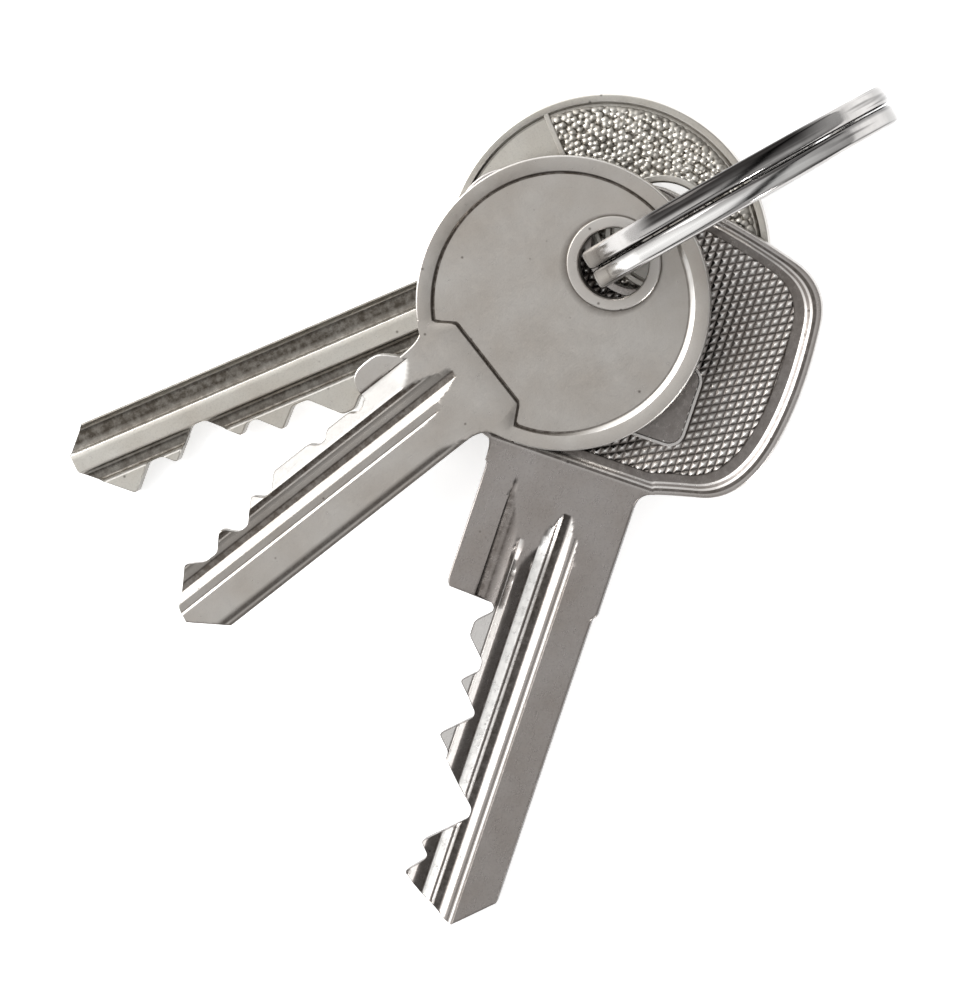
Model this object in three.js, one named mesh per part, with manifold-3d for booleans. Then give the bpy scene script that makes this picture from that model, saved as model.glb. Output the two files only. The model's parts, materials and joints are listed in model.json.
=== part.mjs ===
// A bunch of three flat cylinder-lock keys on a two-coil split ring.
// Millimetres, +Z up, standing on z = 0.
//
// Stack frame, in which everything is first laid out:
//   X runs along the ring's plane, from the keys' side of the ring to its far side
//   Y is the ring's own axis
//   Z is the keys' common normal, so every key swings about Z
// The origin is the centre of the ring. The whole stack is then tipped until the ring's
// lowest point and the tips of the two lower keys stand on the table.
//
// Each key is drawn in a frame of its own: the origin is the middle of its bow, X runs down
// the blade to the tip, and Z is the face that is up. `side` is +1 where the plain edge of
// the blade lies on +Y and -1 where it lies on -Y. Heights on the blade count from the plain
// edge towards the teeth.

import * as THREE from 'three';
import { mergeVertices } from 'three/addons/utils/BufferGeometryUtils.js';
import Module from 'manifold-3d';

const wasm = await Module();
wasm.setup();

// ---------------------------------------------------------------- driving dimensions

const RING_OUTER_RADIUS = 14.0;
const WIRE_RADIAL = 2.0;
const WIRE_AXIAL = 1.65;
const WIRE_CHAMFER = 0.4;
const COIL_GAP = 0.1;
const JOG_START = THREE.MathUtils.degToRad(300);
const JOG_SWEEP = THREE.MathUtils.degToRad(40);

const KEY_THICKNESS = 2.1;
const KEY_PITCH = 2.45;
const TOP_KEY_DEPTH = 4.0;
const RECESS_DEPTH = 0.3;
const CUTTER_RADIUS = 16.0;
const CUT_SLOPE = 1.0;

const TIP_ALONG = THREE.MathUtils.degToRad(4.3);
const TIP_ACROSS = THREE.MathUtils.degToRad(3.7);

const BOW_FILLET = 1.2;
const FILLET_PULL = 0.6;
const WIDE_FILLET = 1.8;
const WIDE_FILLET_PULL = 0.3;
const CHORD_CORNER = 1.4;

const ARC_STEPS = 24;
const RING_STEPS = 110;
const OVERCUT = 1.0;
const MERGE_DISTANCE = 1e-4;

const ROUND_KEY = {
  side: 1,
  hole: { x: -5.4, y: 0.0, radius: 2.9, bossWidth: 0.95 },
  bow: { radius: 12.2, plainJoint: 25, toothJoint: 26 },
  recess: { radius: 10.95, chordX: 8.1, chordHalf: 4.2 },
  plainEdge: 4.0,
  bladeHeight: 7.9,
  shankHeight: 8.9,
  shoulder: { start: 14.6, end: 17.9, height: 10.3, round: 1.3 },
  cuts: [
    { at: 18.9, height: 7.5, flat: 0.8 },
    { at: 23.0, height: 7.3, flat: 0.8 },
    { at: 29.3, height: 6.7, flat: 0.8 },
    { at: 32.7, height: 5.7, flat: 0.9 },
    { at: 36.4, height: 5.5, flat: 1.3 },
  ],
  tipCrest: { x: 38.5, height: 6.4 },
  noseTop: { x: 41.2, height: 3.8 },
  noseBottom: { x: 41.4, height: 2.5 },
  chamferEnd: 38.6,
  grooves: [
    { face: 1, start: 10.8, low: 3.2, high: 5.4, depth: 0.7 },
    { face: 1, start: 13.1, low: 5.8, high: 8.2, depth: 0.6 },
    { face: -1, start: 11.5, low: 4.4, high: 6.6, depth: 0.6 },
  ],
};

const KNURLED_KEY = {
  side: 1,
  hole: { x: 0.0, y: 0.0, radius: 3.9, bossWidth: 0.7 },
  mirrorY: 1.2,
  apexX: -4.85,
  halfBow: [
    { control: [-4.35, 6.4], end: [-2.65, 12.5] },
    { control: [-1.75, 16.0], end: [1.65, 16.4] },
    { control: [7.75, 17.1], end: [12.45, 16.15] },
    { control: [17.85, 15.0], end: [18.55, 11.3] },
    { control: [19.15, 8.9], end: [19.5, 7.9] },
  ],
  recess: { middleX: 7.35, scaleX: 0.864, scaleY: 0.898 },
  plainEdge: 6.6,
  bladeHeight: 9.6,
  shankHeight: 13.0,
  shoulder: { start: 21.4, end: 32.6, height: 12.8, round: 1.2 },
  cuts: [
    { at: 33.0, height: 8.4, flat: 0.5 },
    { at: 37.9, height: 7.9, flat: 0.9 },
    { at: 41.9, height: 7.1, flat: 0.5 },
    { at: 46.1, height: 8.2, flat: 0.9 },
    { at: 50.0, height: 4.8, flat: 0.8 },
    { at: 54.6, height: 7.1, flat: 0.4 },
  ],
  tipCrest: { x: 56.5, height: 8.5 },
  noseTop: { x: 59.2, height: 4.0 },
  noseBottom: { x: 59.4, height: 3.3 },
  chamferEnd: 56.4,
  grooves: [
    { face: 1, start: 23.5, low: 3.2, high: 5.6, depth: 0.7 },
    { face: 1, start: 23.5, low: 5.8, high: 9.0, depth: 0.6 },
    { face: -1, start: 24.5, low: 4.6, high: 7.0, depth: 0.6 },
  ],
};

const PEBBLED_KEY = {
  side: -1,
  hole: { x: -5.0, y: 0.0, radius: 4.2, bossWidth: 0.6 },
  bow: { radius: 13.5, plainJoint: 25, toothJoint: 26 },
  recess: { radius: 12.9, chordX: 9.8, chordHalf: 4.6 },
  rib: { x: 0.1, width: 0.5 },
  plainEdge: 4.4,
  bladeHeight: 7.9,
  shankHeight: 9.2,
  shoulder: { start: 15.6, end: 22.0, height: 10.4, round: 1.2 },
  cuts: [
    { at: 23.4, height: 7.0, flat: 0.8 },
    { at: 28.7, height: 5.6, flat: 1.4 },
    { at: 33.1, height: 5.4, flat: 0.9 },
    { at: 37.4, height: 3.8, flat: 1.2 },
    { at: 42.0, height: 5.2, flat: 1.4 },
  ],
  tipCrest: { x: 44.6, height: 7.2 },
  noseTop: { x: 48.5, height: 3.7 },
  noseBottom: { x: 48.6, height: 2.1 },
  chamferEnd: 46.6,
  grooves: [
    { face: 1, start: 12.0, low: 0.4, high: 1.9, depth: 0.5 },
    { face: 1, start: 13.0, low: 3.9, high: 5.0, depth: 0.6 },
    { face: -1, start: 12.5, low: 2.6, high: 4.6, depth: 0.6 },
  ],
};

// Where each key's hole is in the stack (x from the ring's keys-side rim, y across the ring)
// and which way its blade points, as an angle in the stack's XY plane.
const PLACES = {
  round_bow_key: { layer: 0, fromRim: 1.6, y: -0.3, heading: 188.6 },
  knurled_bow_key: { layer: 1, fromRim: 4.05, y: 0.2, heading: 221.8 },
  pebbled_bow_key: { layer: 2, fromRim: 5.9, y: -0.1, heading: 173.5 },
};

// ---------------------------------------------------------------- solids and cutting

/** A closed three.js geometry as a manifold solid. */
function toSolid(geometry) {
  const bare = geometry.clone();
  bare.deleteAttribute('normal');
  bare.deleteAttribute('uv');
  const merged = mergeVertices(bare, MERGE_DISTANCE);
  return new wasm.Manifold(new wasm.Mesh({
    numProp: 3,
    vertProperties: new Float32Array(merged.attributes.position.array),
    triVerts: new Uint32Array(merged.index.array),
  }));
}

/** A manifold solid as a named three.js mesh. */
function toMesh(name, solid, material) {
  const result = solid.getMesh();
  const geometry = new THREE.BufferGeometry();
  geometry.setAttribute('position', new THREE.BufferAttribute(result.vertProperties, 3));
  geometry.setIndex(new THREE.BufferAttribute(result.triVerts, 1));
  geometry.computeVertexNormals();
  const mesh = new THREE.Mesh(geometry, material);
  mesh.name = name;
  return mesh;
}

/** A flat shape given thickness, from height `low` to height `high`. */
function slab(shape, low, high) {
  const geometry = new THREE.ExtrudeGeometry(shape, {
    depth: high - low,
    bevelEnabled: false,
    curveSegments: ARC_STEPS,
  });
  geometry.translate(0, 0, low);
  return geometry;
}

/** A round disc's outline. */
function circle(x, y, radius) {
  const shape = new THREE.Shape();
  shape.absarc(x, y, radius, 0, 2 * Math.PI, false);
  return shape;
}

// ---------------------------------------------------------------- the split ring

/** The wire's centre line: two flat coils joined by one short sideways jog. */
class SplitRingPath extends THREE.Curve {
  constructor(radius, coilOffset) {
    super();
    this.radius = radius;
    this.coilOffset = coilOffset;
    this.coilSweep = 2 * Math.PI - JOG_SWEEP;
    this.total = 2 * this.coilSweep + JOG_SWEEP;
  }

  getPoint(t, target = new THREE.Vector3()) {
    const turned = t * this.total;
    const angle = JOG_START + JOG_SWEEP + turned;
    const jog = THREE.MathUtils.smoothstep(turned, this.coilSweep, this.coilSweep + JOG_SWEEP);
    return target.set(
      this.radius * Math.cos(angle),
      this.coilOffset * (2 * jog - 1),
      this.radius * Math.sin(angle),
    );
  }

  /** The section's first axis stays along the ring's axis, so the flat wire never twists. */
  computeFrenetFrames(segments) {
    const tangents = [];
    const normals = [];
    const binormals = [];
    for (let index = 0; index <= segments; index += 1) {
      const tangent = this.getTangentAt(index / segments);
      const normal = new THREE.Vector3(0, 1, 0);
      normal.addScaledVector(tangent, -normal.dot(tangent)).normalize();
      tangents.push(tangent);
      normals.push(normal);
      binormals.push(new THREE.Vector3().crossVectors(tangent, normal));
    }
    return { tangents, normals, binormals };
  }
}

/** The wire's section: a flat rectangle with chamfered corners. */
function wireSection() {
  const halfAxial = WIRE_AXIAL / 2;
  const halfRadial = WIRE_RADIAL / 2;
  const shape = new THREE.Shape();
  shape.moveTo(halfAxial, -halfRadial + WIRE_CHAMFER);
  shape.lineTo(halfAxial, halfRadial - WIRE_CHAMFER);
  shape.lineTo(halfAxial - WIRE_CHAMFER, halfRadial);
  shape.lineTo(-halfAxial + WIRE_CHAMFER, halfRadial);
  shape.lineTo(-halfAxial, halfRadial - WIRE_CHAMFER);
  shape.lineTo(-halfAxial, -halfRadial + WIRE_CHAMFER);
  shape.lineTo(-halfAxial + WIRE_CHAMFER, -halfRadial);
  shape.lineTo(halfAxial - WIRE_CHAMFER, -halfRadial);
  return shape;
}

function makeSplitRing(material) {
  const meanRadius = RING_OUTER_RADIUS - WIRE_RADIAL / 2;
  const path = new SplitRingPath(meanRadius, (WIRE_AXIAL + COIL_GAP) / 2);
  const wire = new THREE.ExtrudeGeometry(wireSection(), {
    steps: RING_STEPS,
    extrudePath: path,
  });
  return toMesh('split_ring', toSolid(wire), material);
}

// ---------------------------------------------------------------- key outlines

/** Corners of a row of V cuts with flat roots, from the shoulder to the tip's crest. */
function cutCorners(key) {
  const corners = [];
  let before = { x: key.shoulder.end, height: key.bladeHeight };
  for (const cut of key.cuts) {
    const rootStart = cut.at - cut.flat / 2;
    const rootEnd = cut.at + cut.flat / 2;
    const meetX = (before.x + rootStart + (cut.height - before.height) / CUT_SLOPE) / 2;
    const meetHeight = before.height + (meetX - before.x) * CUT_SLOPE;
    if (meetHeight > key.bladeHeight) {
      const riseEnd = before.x + (key.bladeHeight - before.height) / CUT_SLOPE;
      const fallStart = rootStart - (key.bladeHeight - cut.height) / CUT_SLOPE;
      corners.push({ x: riseEnd, height: key.bladeHeight });
      corners.push({ x: fallStart, height: key.bladeHeight });
    } else {
      corners.push({ x: meetX, height: meetHeight });
    }
    corners.push({ x: rootStart, height: cut.height });
    corners.push({ x: rootEnd, height: cut.height });
    before = { x: rootEnd, height: cut.height };
  }
  return corners;
}

/** Where a height on the blade lies across the key. */
function acrossAt(key, height) {
  return key.side * (key.plainEdge - height);
}

/** A round bow, from its joint with the plain edge round to its joint with the tooth side. */
function traceRoundBow(shape, key) {
  const { radius, plainJoint, toothJoint } = key.bow;
  const start = key.side * THREE.MathUtils.degToRad(plainJoint);
  const end = key.side * THREE.MathUtils.degToRad(360 - toothJoint);
  shape.moveTo(key.chamferEnd, acrossAt(key, 0));
  shape.lineTo(radius + BOW_FILLET, acrossAt(key, 0));
  shape.quadraticCurveTo(
    radius * Math.cos(start) + FILLET_PULL,
    acrossAt(key, 0),
    radius * Math.cos(start),
    radius * Math.sin(start),
  );
  shape.absarc(0, 0, radius, start, end, key.side < 0);
  shape.quadraticCurveTo(
    radius * Math.cos(end) + FILLET_PULL,
    acrossAt(key, key.shankHeight),
    radius + BOW_FILLET,
    acrossAt(key, key.shankHeight),
  );
}

/** A wide bow, as one half of curved spans and its mirror image. */
function traceWideBow(shape, key) {
  const spans = key.halfBow;
  const mirror = (y) => key.mirrorY - y;
  shape.moveTo(key.chamferEnd, acrossAt(key, 0));
  const joint = spans[spans.length - 1].end;
  shape.lineTo(joint[0] + WIDE_FILLET, acrossAt(key, 0));
  shape.quadraticCurveTo(joint[0] + WIDE_FILLET_PULL, acrossAt(key, 0), joint[0], joint[1]);
  for (let index = spans.length - 1; index >= 0; index -= 1) {
    const target = index > 0 ? spans[index - 1].end : [key.apexX, key.mirrorY / 2];
    shape.quadraticCurveTo(...spans[index].control, ...target);
  }
  for (const span of spans) {
    const [controlX, controlY] = span.control;
    const [endX, endY] = span.end;
    shape.quadraticCurveTo(controlX, mirror(controlY), endX, mirror(endY));
  }
  shape.quadraticCurveTo(
    joint[0] + WIDE_FILLET_PULL,
    acrossAt(key, key.shankHeight),
    joint[0] + WIDE_FILLET,
    acrossAt(key, key.shankHeight),
  );
}

/** The shoulder that stops the key in the lock, the cuts and the tip. */
function traceBlade(shape, key) {
  const { start, end, height, round } = key.shoulder;
  shape.lineTo(start, acrossAt(key, height));
  shape.lineTo(end - round, acrossAt(key, height));
  shape.quadraticCurveTo(end, acrossAt(key, height), end, acrossAt(key, height - round));
  for (const corner of cutCorners(key)) {
    shape.lineTo(corner.x, acrossAt(key, corner.height));
  }
  for (const corner of [key.tipCrest, key.noseTop, key.noseBottom]) {
    shape.lineTo(corner.x, acrossAt(key, corner.height));
  }
  shape.lineTo(key.chamferEnd, acrossAt(key, 0));
}

/** The whole flat outline of a key, with its hole. */
function keyOutline(key, traceBow) {
  const shape = new THREE.Shape();
  traceBow(shape, key);
  traceBlade(shape, key);
  shape.holes.push(circle(key.hole.x, key.hole.y, key.hole.radius));
  return shape;
}

// ---------------------------------------------------------------- what is sunk into the faces

/** The sunk disc of a round bow, flat where the shank begins. */
function roundRecess(key) {
  const { radius, chordX, chordHalf } = key.recess;
  const meet = Math.acos((chordX + CHORD_CORNER) / radius);
  const shape = new THREE.Shape();
  shape.absarc(0, 0, radius, meet, 2 * Math.PI - meet, false);
  shape.lineTo(chordX, -chordHalf);
  shape.lineTo(chordX, chordHalf);
  return shape;
}

/** The sunk field of the wide bow: its outline drawn in by the width of the rim. */
function wideRecess(key) {
  const { middleX, scaleX, scaleY } = key.recess;
  const middleY = key.mirrorY / 2;
  const inset = ([x, y]) => [middleX + (x - middleX) * scaleX, middleY + (y - middleY) * scaleY];
  const mirror = ([x, y]) => [x, key.mirrorY - y];
  const apex = inset([key.apexX, middleY]);
  const shape = new THREE.Shape();
  shape.moveTo(...apex);
  for (const span of key.halfBow) {
    shape.quadraticCurveTo(...inset(span.control), ...inset(span.end));
  }
  const spans = [...key.halfBow].reverse();
  shape.lineTo(...mirror(inset(spans[0].end)));
  spans.forEach((span, index) => {
    const next = index + 1 < spans.length ? mirror(inset(spans[index + 1].end)) : apex;
    shape.quadraticCurveTo(...mirror(inset(span.control)), ...next);
  });
  return shape;
}

/** Takes the field down on both faces and leaves the boss round the hole standing. */
function sinkFaces(solid, key, recessShape) {
  const { x, y, radius, bossWidth } = key.hole;
  const boss = toSolid(slab(circle(x, y, radius + bossWidth), -KEY_THICKNESS, KEY_THICKNESS));
  const floor = KEY_THICKNESS / 2 - RECESS_DEPTH;
  let upper = toSolid(slab(recessShape, floor, floor + OVERCUT)).subtract(boss);
  let lower = toSolid(slab(recessShape, -floor - OVERCUT, -floor)).subtract(boss);
  if (key.rib) {
    const rib = new THREE.BoxGeometry(key.rib.width, 4 * key.bow.radius, 2 * KEY_THICKNESS);
    rib.translate(key.rib.x, 0, 0);
    upper = upper.subtract(toSolid(rib));
    lower = lower.subtract(toSolid(rib));
  }
  return solid.subtract(upper).subtract(lower);
}

/** The path of the milling cutter: a flat floor that rises out of the face in an arc. */
function grooveCutter(key, groove) {
  const face = KEY_THICKNESS / 2;
  const floor = face - groove.depth;
  const rise = Math.acos(1 - groove.depth / CUTTER_RADIUS);
  const runOut = CUTTER_RADIUS * Math.sin(rise);
  const far = key.noseBottom.x + OVERCUT;
  const side = new THREE.Shape();
  side.moveTo(far, floor);
  side.lineTo(far, face + OVERCUT);
  side.lineTo(groove.start, face + OVERCUT);
  side.lineTo(groove.start, face);
  const lowest = 1.5 * Math.PI;
  const axleX = groove.start + runOut;
  side.absarc(axleX, floor + CUTTER_RADIUS, CUTTER_RADIUS, lowest - rise, lowest, false);
  const width = groove.high - groove.low;
  const middle = acrossAt(key, (groove.low + groove.high) / 2);
  const geometry = new THREE.ExtrudeGeometry(side, {
    depth: width,
    bevelEnabled: false,
    curveSegments: ARC_STEPS / 4,
  });
  geometry.rotateX(Math.PI / 2);
  geometry.translate(0, width / 2, 0);
  if (groove.face < 0) {
    geometry.rotateX(Math.PI);
  }
  geometry.translate(0, middle, 0);
  return toSolid(geometry);
}

function makeKey(name, key, traceBow, recessShape, material) {
  const face = KEY_THICKNESS / 2;
  let solid = toSolid(slab(keyOutline(key, traceBow), -face, face));
  solid = sinkFaces(solid, key, recessShape);
  for (const groove of key.grooves) {
    solid = solid.subtract(grooveCutter(key, groove));
  }
  const mesh = toMesh(name, solid, material);
  mesh.position.set(-key.hole.x, -key.hole.y, 0);
  const swinging = new THREE.Group();
  const place = PLACES[name];
  swinging.position.set(
    -RING_OUTER_RADIUS + place.fromRim,
    place.y,
    -TOP_KEY_DEPTH - place.layer * KEY_PITCH,
  );
  swinging.rotation.z = THREE.MathUtils.degToRad(place.heading);
  swinging.add(mesh);
  return swinging;
}

// ---------------------------------------------------------------- the bunch

const ringSteel = new THREE.MeshStandardMaterial({ color: 0xd4d4d6, roughness: 0.16, metalness: 1 });
const satinNickel = new THREE.MeshStandardMaterial({ color: 0xb5b0a9, roughness: 0.42, metalness: 1 });
const brightNickel = new THREE.MeshStandardMaterial({ color: 0xb9b6b2, roughness: 0.34, metalness: 1 });
const yellowedNickel = new THREE.MeshStandardMaterial({ color: 0xb3aa98, roughness: 0.4, metalness: 1 });

const stack = new THREE.Group();
stack.add(makeSplitRing(ringSteel));
stack.add(makeKey('round_bow_key', ROUND_KEY, traceRoundBow, roundRecess(ROUND_KEY), satinNickel));
stack.add(makeKey('knurled_bow_key', KNURLED_KEY, traceWideBow, wideRecess(KNURLED_KEY), brightNickel));
stack.add(makeKey('pebbled_bow_key', PEBBLED_KEY, traceRoundBow, roundRecess(PEBBLED_KEY), yellowedNickel));

// Tipping lowers the blades' ends: first across the ring, then along it.
stack.rotation.set(TIP_ACROSS, -TIP_ALONG, 0, 'YXZ');

const bunch = new THREE.Group();
bunch.add(stack);
const box = new THREE.Box3().setFromObject(bunch, true);
const middle = box.getCenter(new THREE.Vector3());
stack.position.set(-middle.x, -middle.y, -box.min.z);

export default bunch;
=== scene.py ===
"""Looks for a bunch of three flat cylinder-lock keys on a two-coil split ring.

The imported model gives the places: each key turns about the middle of its hole on the ring,
and the ring's box gives the ring's middle. Shapes are worked out in millimetres in a plan
frame of each key's own and put into the frame in metres.
"""

import json
import math

import bmesh
import bpy
import numpy as np
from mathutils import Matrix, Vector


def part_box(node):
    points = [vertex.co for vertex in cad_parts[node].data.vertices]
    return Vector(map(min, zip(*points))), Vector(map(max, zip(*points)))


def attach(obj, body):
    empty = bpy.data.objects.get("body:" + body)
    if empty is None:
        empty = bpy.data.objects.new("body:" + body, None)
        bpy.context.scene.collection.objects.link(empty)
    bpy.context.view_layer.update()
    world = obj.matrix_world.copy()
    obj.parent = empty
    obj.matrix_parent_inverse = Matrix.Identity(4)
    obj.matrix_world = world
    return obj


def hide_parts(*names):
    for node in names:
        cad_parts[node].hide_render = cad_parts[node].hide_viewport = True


bl_info = {
    "name": "Key Bunch",
    "version": (1, 0, 0),
    "blender": (4, 5, 0),
    "location": "3D View > Sidebar > Key Bunch",
    "description": "Builds a split ring and its three worn keys round a packed model",
    "category": "Add Mesh",
}

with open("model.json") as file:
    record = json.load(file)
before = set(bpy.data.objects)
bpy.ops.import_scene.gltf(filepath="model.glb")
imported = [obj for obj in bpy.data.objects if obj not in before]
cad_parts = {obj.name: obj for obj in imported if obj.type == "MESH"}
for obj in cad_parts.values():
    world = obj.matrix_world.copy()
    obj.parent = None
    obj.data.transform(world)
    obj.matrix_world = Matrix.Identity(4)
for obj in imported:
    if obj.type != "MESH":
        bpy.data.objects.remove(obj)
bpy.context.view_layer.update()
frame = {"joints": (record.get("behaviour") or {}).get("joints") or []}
MM = 0.001

# ---------------------------------------------------------------- the stack and its keys

# Angles are in radians, sizes in millimetres.
TIP_ALONG = math.radians(4.3)
TIP_ACROSS = math.radians(3.7)
RING_OUTER_RADIUS = 14.0
WIRE_RADIAL = 2.0
WIRE_AXIAL = 1.65
COIL_GAP = 0.1
JOG_START = math.radians(300)
JOG_SWEEP = math.radians(40)
HALF = 2.1 / 2  # half of a key's thickness
EDGE = 0.12  # width and drop of a key's rounded rim
CUTTER_RADIUS = 16.0
RUN_OUT = 0.02  # depth over which a groove's tone fades in where its cutter lifts
STEEP_WALL = 0.14  # width of a recess's wall where it isn't a broad slope
STATION_STEP = 0.2  # spacing along the blade, and close by where grooves run out
FINE_STEP = 0.07
HEIGHT_STEP = 0.3  # spacing across the blade, and how far it keeps from grooves' corners
HEIGHT_CLEAR = 0.1

# Creases sharper than these, in degrees, are shaded as creases.
KEY_CREASE = 24
RING_CREASE = 40

# A key's plan frame: the origin is the middle of the bow, x runs down the blade and the plain
# edge of the blade lies on +y. Heights on the blade count from that edge towards the teeth.
# Tone runs from -1 to 1 and is painted light: -1 is painted shade with dirt, 1 a painted
# highlight on faces turned to the light and on freshly cut metal. The tones in the grooves'
# sections and the land paint the bright and dark bands of lit and shaded walls.
#   hole      middle x and y, radius; boss is the width of the collar round it
#   bow       radius, and the bearings at which the plain and the tooth side leave it
#   spans     (control, end) of the parabolas of half of a wide bow's outline, from its apex
#   chord     where the bow ends and the shank begins
#   shoulder  start, end, height and corner radius of the lobe before the teeth
#   cuts      (middle, height, flat width) of each root; tip is the corners of the nose
#   grooves   face, where the cutter enters, the section as (height, depth, tone) triples and,
#             if not the usual one, the cutter's radius
#   land      start, run-in, lower height, depth and tone of a level cut along the teeth
#   recess    radius, chord, half chord and corner of the sunk disc; wall is its slope's width
#   field     middle x, shares along and across, and half of the straight end
#   plate     middle x and y, half length and half width; rib is x, width and half length
ROUND_KEY = {
    "node": "round_bow_key",
    "body": "round_key",
    "side": 1,
    "heading": 188.6,
    "hole": (-5.4, 0.0, 2.9),
    "boss": 0.95,
    "bow": (12.2, 25.0, 26.0),
    "chord": 10.4,
    "plain_edge": 4.0,
    "blade": 7.9,
    "shank": 8.9,
    "shoulder": (14.8, 17.9, 10.3, 1.7),
    # Tone of the painted highlight along the rolled edge of the shoulder's lobe.
    "rolled_highlight": 1.0,
    "cuts": (
        (18.9, 7.5, 0.8), (23.0, 7.3, 0.8), (29.3, 6.7, 0.8), (32.7, 5.7, 0.9), (36.4, 5.5, 1.3),
    ),
    "tip": ((38.5, 6.4), (41.2, 3.8), (41.4, 2.5)),
    "chamfer": 38.6,
    "grooves": (
        (1, 12.6, (
            (-0.2, 0.3, -0.7), (0.14, 0.16, -0.8), (0.3, 0.08, 0.0), (0.46, 0.03, -0.8),
            (0.66, 0.01, -0.8), (0.84, 0.0, -0.25), (1.0, 0.0, 0.0),
        )),
        (1, 10.6, (
            (3.16, 0.0, 0.0), (3.22, 0.03, 0.3), (3.31, 0.09, 0.3), (3.36, 0.12, -0.85),
            (3.48, 0.12, -0.25), (4.0, 0.12, -0.25), (4.1, 0.2, 0.2), (4.4, 0.38, 0.35),
            (4.47, 0.42, -0.5), (4.56, 0.46, 0.0), (4.68, 0.54, 0.0), (4.74, 0.58, -0.9),
            (5.25, 0.6, -0.95), (5.36, 0.56, -0.4), (5.9, 0.3, -0.35), (6.02, 0.28, -0.55),
            (6.14, 0.22, 0.1), (6.24, 0.16, -1.0), (6.6, 0.02, -1.0), (6.66, 0.0, -1.0),
        ), 24.0),
        (1, 13.0, (
            (6.6, 0.0, -1.0), (6.68, 0.02, 0.6), (8.36, 0.2, 0.55), (8.42, 0.2, -1.0),
            (8.52, 0.0, -1.0),
        )),
        (-1, 11.5, ((4.4, 0.0, 0.0), (4.6, 0.6, -0.4), (6.4, 0.6, -0.4), (6.6, 0.0, 0.0))),
    ),
    "recess": (10.95, 8.1, 4.2, 1.4),
    "wall": 0.42,
}

KNURLED_KEY = {
    "node": "knurled_bow_key",
    "body": "knurled_key",
    "side": 1,
    "heading": 221.8,
    "hole": (0.0, 0.0, 3.9),
    "boss": 0.7,
    "middle_y": 0.6,
    "apex": -4.85,
    "spans": (
        ((-4.35, 6.4), (-2.65, 12.5)), ((-1.75, 16.0), (1.65, 16.4)),
        ((7.75, 17.1), (12.45, 16.15)), ((17.85, 15.0), (18.55, 11.3)),
        ((19.15, 8.9), (19.5, 7.9)),
    ),
    "chord": 19.5,
    "edge_step": ((30.7, 0.0), (31.1, 0.3)),
    "plain_edge": 6.6,
    "blade": 9.6,
    "shank": 13.0,
    "shoulder": (21.4, 32.6, 12.8, 1.2),
    "cuts": (
        (33.0, 8.4, 0.5), (37.9, 7.9, 0.9), (41.9, 7.1, 0.5), (46.1, 8.2, 0.9), (50.0, 4.8, 0.8),
        (54.6, 7.1, 0.4),
    ),
    "tip": ((56.5, 8.5), (59.2, 4.0), (59.4, 3.3)),
    "chamfer": 56.4,
    "grooves": (
        (1, 23.4, (
            (3.24, 0.0, 0.0), (3.3, 0.04, -0.8), (3.38, 0.08, -0.6), (3.43, 0.13, 0.6),
            (3.54, 0.24, 0.6), (3.6, 0.27, -0.2), (3.7, 0.28, 0.0), (3.76, 0.28, -0.4),
            (3.86, 0.28, 0.1), (3.98, 0.29, -0.1), (4.08, 0.31, 0.2), (4.18, 0.36, 0.6),
            (4.52, 0.6, 0.6), (4.62, 0.66, -0.2), (4.74, 0.68, -0.85), (5.26, 0.68, -0.95),
            (5.34, 0.64, 0.3), (5.5, 0.56, 0.5), (5.57, 0.5, -0.9), (5.68, 0.42, -0.7),
            (5.78, 0.36, 1.0), (6.44, 0.06, 1.0), (6.52, 0.04, -1.0), (6.66, 0.0, -1.0),
        )),
        (1, 26.5, (
            (7.5, 0.06, -0.4), (7.6, 0.12, 0.4), (8.08, 0.6, 0.6), (8.16, 0.62, -0.5),
            (8.3, 0.5, -0.6), (8.44, 0.0, -0.3),
        ), 30.0),
        (1, 27.0, (
            (6.46, 0.0, -1.0), (6.58, 0.12, -1.0), (6.72, 0.11, -0.8), (7.3, 0.05, -0.75),
            (7.52, 0.0, -0.5),
        ), 68.0),
        (1, 21.9, (
            (7.6, 0.0, 0.3), (8.1, 0.02, 0.3), (8.3, 0.04, -0.1), (8.55, 0.07, 0.0),
            (8.8, 0.11, -0.25), (9.0, 0.13, -0.5), (9.15, 0.15, -0.7), (9.32, 0.17, -0.95),
            (9.46, 0.19, -0.7), (9.6, 0.21, -0.65), (9.76, 0.23, -0.85), (10.08, 0.3, -0.95),
            (10.16, 0.24, -1.0), (10.22, 0.0, -0.9),
        ), 150.0),
        (-1, 24.5, ((4.6, 0.0, 0.0), (4.8, 0.6, -0.4), (6.8, 0.6, -0.4), (7.0, 0.0, 0.0))),
    ),
    # Below the shoulder the cut land is level, not sloping as it is on the shank.
    "land": (33.0, 0.5, 8.3, 0.55, 0.6),
    "field": (7.35, 0.868, 0.861, 7.3),
    "plate": (11.8, 0.6, 3.55, 8.1),
}

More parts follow.
